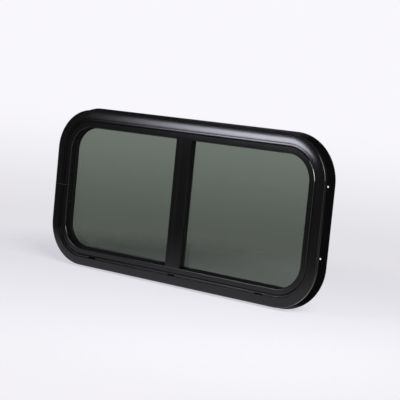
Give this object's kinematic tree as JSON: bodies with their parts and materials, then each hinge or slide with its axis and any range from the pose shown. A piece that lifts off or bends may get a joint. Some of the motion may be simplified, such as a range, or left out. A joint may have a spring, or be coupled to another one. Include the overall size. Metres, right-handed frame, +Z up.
{
  "type": "half-sliding caravan window",
  "caption": "Wide radius-corner caravan window: black framed, tinted panes, one sliding behind a flush centre mullion, clamped to the wall by an inner ring.",
  "frame": {"origin": "centre of the window on the plane where the flange's back meets the wall", "axes": "+X to the right seen from outside, +Y into the wall, +Z up"},
  "size_m": [0.805, 0.0573, 0.405],
  "materials": {
    "black_frame": "satin black powder coat",
    "tinted_glass": "grey-green tinted safety glass",
    "black_rubber": "matt extruded rubber",
    "plush_channel": "plush-lined rubber channel",
    "black_plastic": "moulded plastic",
    "bare_aluminium": "mill finish"
  },
  "bodies": {
    "root": {"outer_frame": "black_frame", "clamp_ring": "black_frame", "centre_mullion": "black_frame", "sash_meeting_stile": "black_frame", "fixed_pane": "tinted_glass", "sliding_pane": "tinted_glass", "fixed_pane_gasket": "black_rubber", "mullion_glazing_seal": "black_rubber", "rebate_infill": "black_rubber", "sash_stops": "black_rubber", "top_run_channel": "plush_channel", "bottom_run_channel": "plush_channel", "jamb_run_channel": "plush_channel", "mullion_pile_strip": "plush_channel", "mullion_foot_top": "black_plastic", "mullion_foot_bottom": "black_plastic", "sash_glides": "black_plastic", "latch_body": "black_plastic", "latch_bolt": "black_plastic", "frame_splice": "bare_aluminium", "latch_keeper": "bare_aluminium"}
  },
  "joints": []
}
